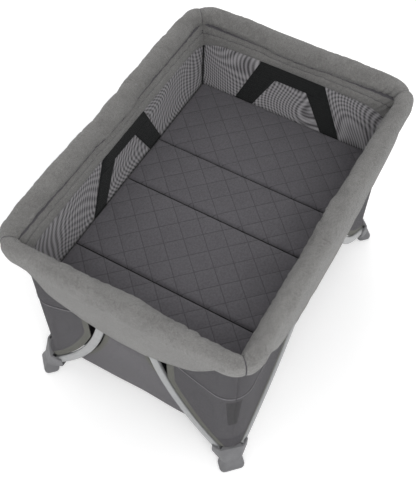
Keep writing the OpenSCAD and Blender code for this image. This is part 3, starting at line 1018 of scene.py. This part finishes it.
def add_floor_half(name, node):
    """Floor half as a thin padded board with a bound edge."""
    low, high = (np.array(c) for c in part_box(node))
    nx, ny = 24, 34
    mid = (low[2] + high[2]) / 2
    points = []
    for z in (high[2], low[2]):
        for x in np.linspace(low[0], high[0], nx):
            for y in np.linspace(low[1], high[1], ny):
                inside = min(x - low[0], high[0] - x, y - low[1], high[1] - y)
                full = min(1.0, 0.35 + inside / 0.012) * (0.8 if inside > 0.02 else 1.0)
                points.append((x, y, mid + (z - mid) * full))
    top = grid(nx, ny)
    faces = top + [tuple(reversed([i + nx * ny for i in f])) for f in top]
    ring = [i * ny + j for i, j in perimeter(nx, ny)]
    faces += [(a, b, b + nx * ny, a + nx * ny) for a, b in zip(ring, ring[1:] + ring[:1])]
    o = outward(piece(name, points, faces, [DARK]))
    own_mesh(o)
    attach(o, node)
    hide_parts(node)


# ---------------------------------------------------------------- mattress

# Distance between a panel's points, its gap to the CAD panel's edge, and the radius of its top edge.
PAD_STEP, PAD_INSET, PAD_ROUND = 0.0052, 0.0012, 0.009
# How high the quilting puffs up, and how much more a panel rises between its creases.
PAD_PUFF, PAD_CROWN = 0.0026, 0.0015
# The sides and the underside of a panel: height above its foot, and how far each ring is pulled in.
PAD_RINGS = ((0.009, 0.0), (0.003, 0.0008), (0.0, 0.005))


def quilt_height(x, y):
    """Puffed diamonds: 0 on a stitched line, 1 between the lines."""
    h = 1.0
    for sign in (1, -1):
        across = ((x + sign * y) * math.sqrt(0.5) + 20 * QUILT) % QUILT
        h *= 1 - math.exp(-(min(across, QUILT - across) / 0.0075) ** 2)
    return h


def pad_top(x, y, dx, dy):
    """Height of a panel's quilted top, at x and y in the frame and dx and dy from the panel's edges."""
    edge = min(dx, dy)
    round_off = PAD_ROUND - math.sqrt(max(PAD_ROUND ** 2 - max(PAD_ROUND - edge, 0) ** 2, 0))
    crown = PAD_CROWN * min(dx / 0.05, 1) * min(dy / 0.08, 1)
    puff = PAD_PUFF * quilt_height(x, y) * min(edge / 0.02, 1)
    return MATTRESS_TOP - 0.0035 - round_off + crown + puff


def add_mattress_panel(number):
    """Quilted panel, crowned between its creases, with dark sides that show as the creases: painted shade in the
    gaps between panels.
    """
    node = f"mattress_panel_{number}"
    low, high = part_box(node)
    x0, x1 = low[0] + PAD_INSET, high[0] - PAD_INSET
    y0, y1 = low[1] + PAD_INSET, high[1] - PAD_INSET
    nx, ny = int((x1 - x0) / PAD_STEP), int((y1 - y0) / PAD_STEP)
    xs, ys = np.linspace(x0, x1, nx), np.linspace(y0, y1, ny)
    points = [(x, y, pad_top(x, y, min(x - x0, x1 - x), min(y - y0, y1 - y))) for x in xs for y in ys]
    edge = perimeter(nx, ny)
    rings = [[i * ny + j for i, j in edge]]
    cx, cy = (x0 + x1) / 2, (y0 + y1) / 2
    for rise, pull in PAD_RINGS:
        rings.append(list(range(len(points), len(points) + len(edge))))
        points += [(xs[i] - math.copysign(pull, xs[i] - cx), ys[j] - math.copysign(pull, ys[j] - cy),
                    low[2] + rise) for i, j in edge]
    top = grid(nx, ny)
    sides = [(a[i - 1], a[i], b[i], b[i - 1])
             for a, b in zip(rings, rings[1:]) for i in range(len(edge))]
    faces = top + sides + [tuple(rings[-1])]
    # The sides and the underside take the black cloth, so the creases between panels show dark: painted shade.
    marks = [0] * len(top) + [1] * (len(sides) + 1)
    o = outward(piece(f"mattress_pad_{number}", points, faces, [QUILTED, BLACK_CLOTH], marks))
    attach(o, node)
    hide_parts(node)


# ---------------------------------------------------------------- hard parts


def paint_hard_parts():
    """Better materials on the CAD nodes that stay."""
    finish = {"tube_metal": METAL, "grey_plastic": GREY_PLASTIC, "black_plastic": BLACK_PLASTIC,
              "sole_rubber": RUBBER}
    for part in frame["record"]["subparts"]:
        material = finish.get(part["material_slot"])
        if material:
            o = frame["nodes"][part["node"]]
            for s in o.material_slots:
                s.material = material


add_camera()
add_stage()
paint_hard_parts()
add_rim()
for one in SIDES:
    add_skirt(one)
    add_band(one)
    add_net(one)
    add_piping(one)
    add_hub_cover(one)
    add_lower_panel(one)
    for half in (0, 1):
        add_corner_panel(one, half)
for way in ("left", "right"):
    add_floor_half(f"lower_floor_{way}_board", f"lower_floor_{way}")
    add_floor_half(f"bassinet_floor_{way}_board", f"bassinet_floor_{way}")
for number in (1, 2, 3, 4):
    add_mattress_panel(number)
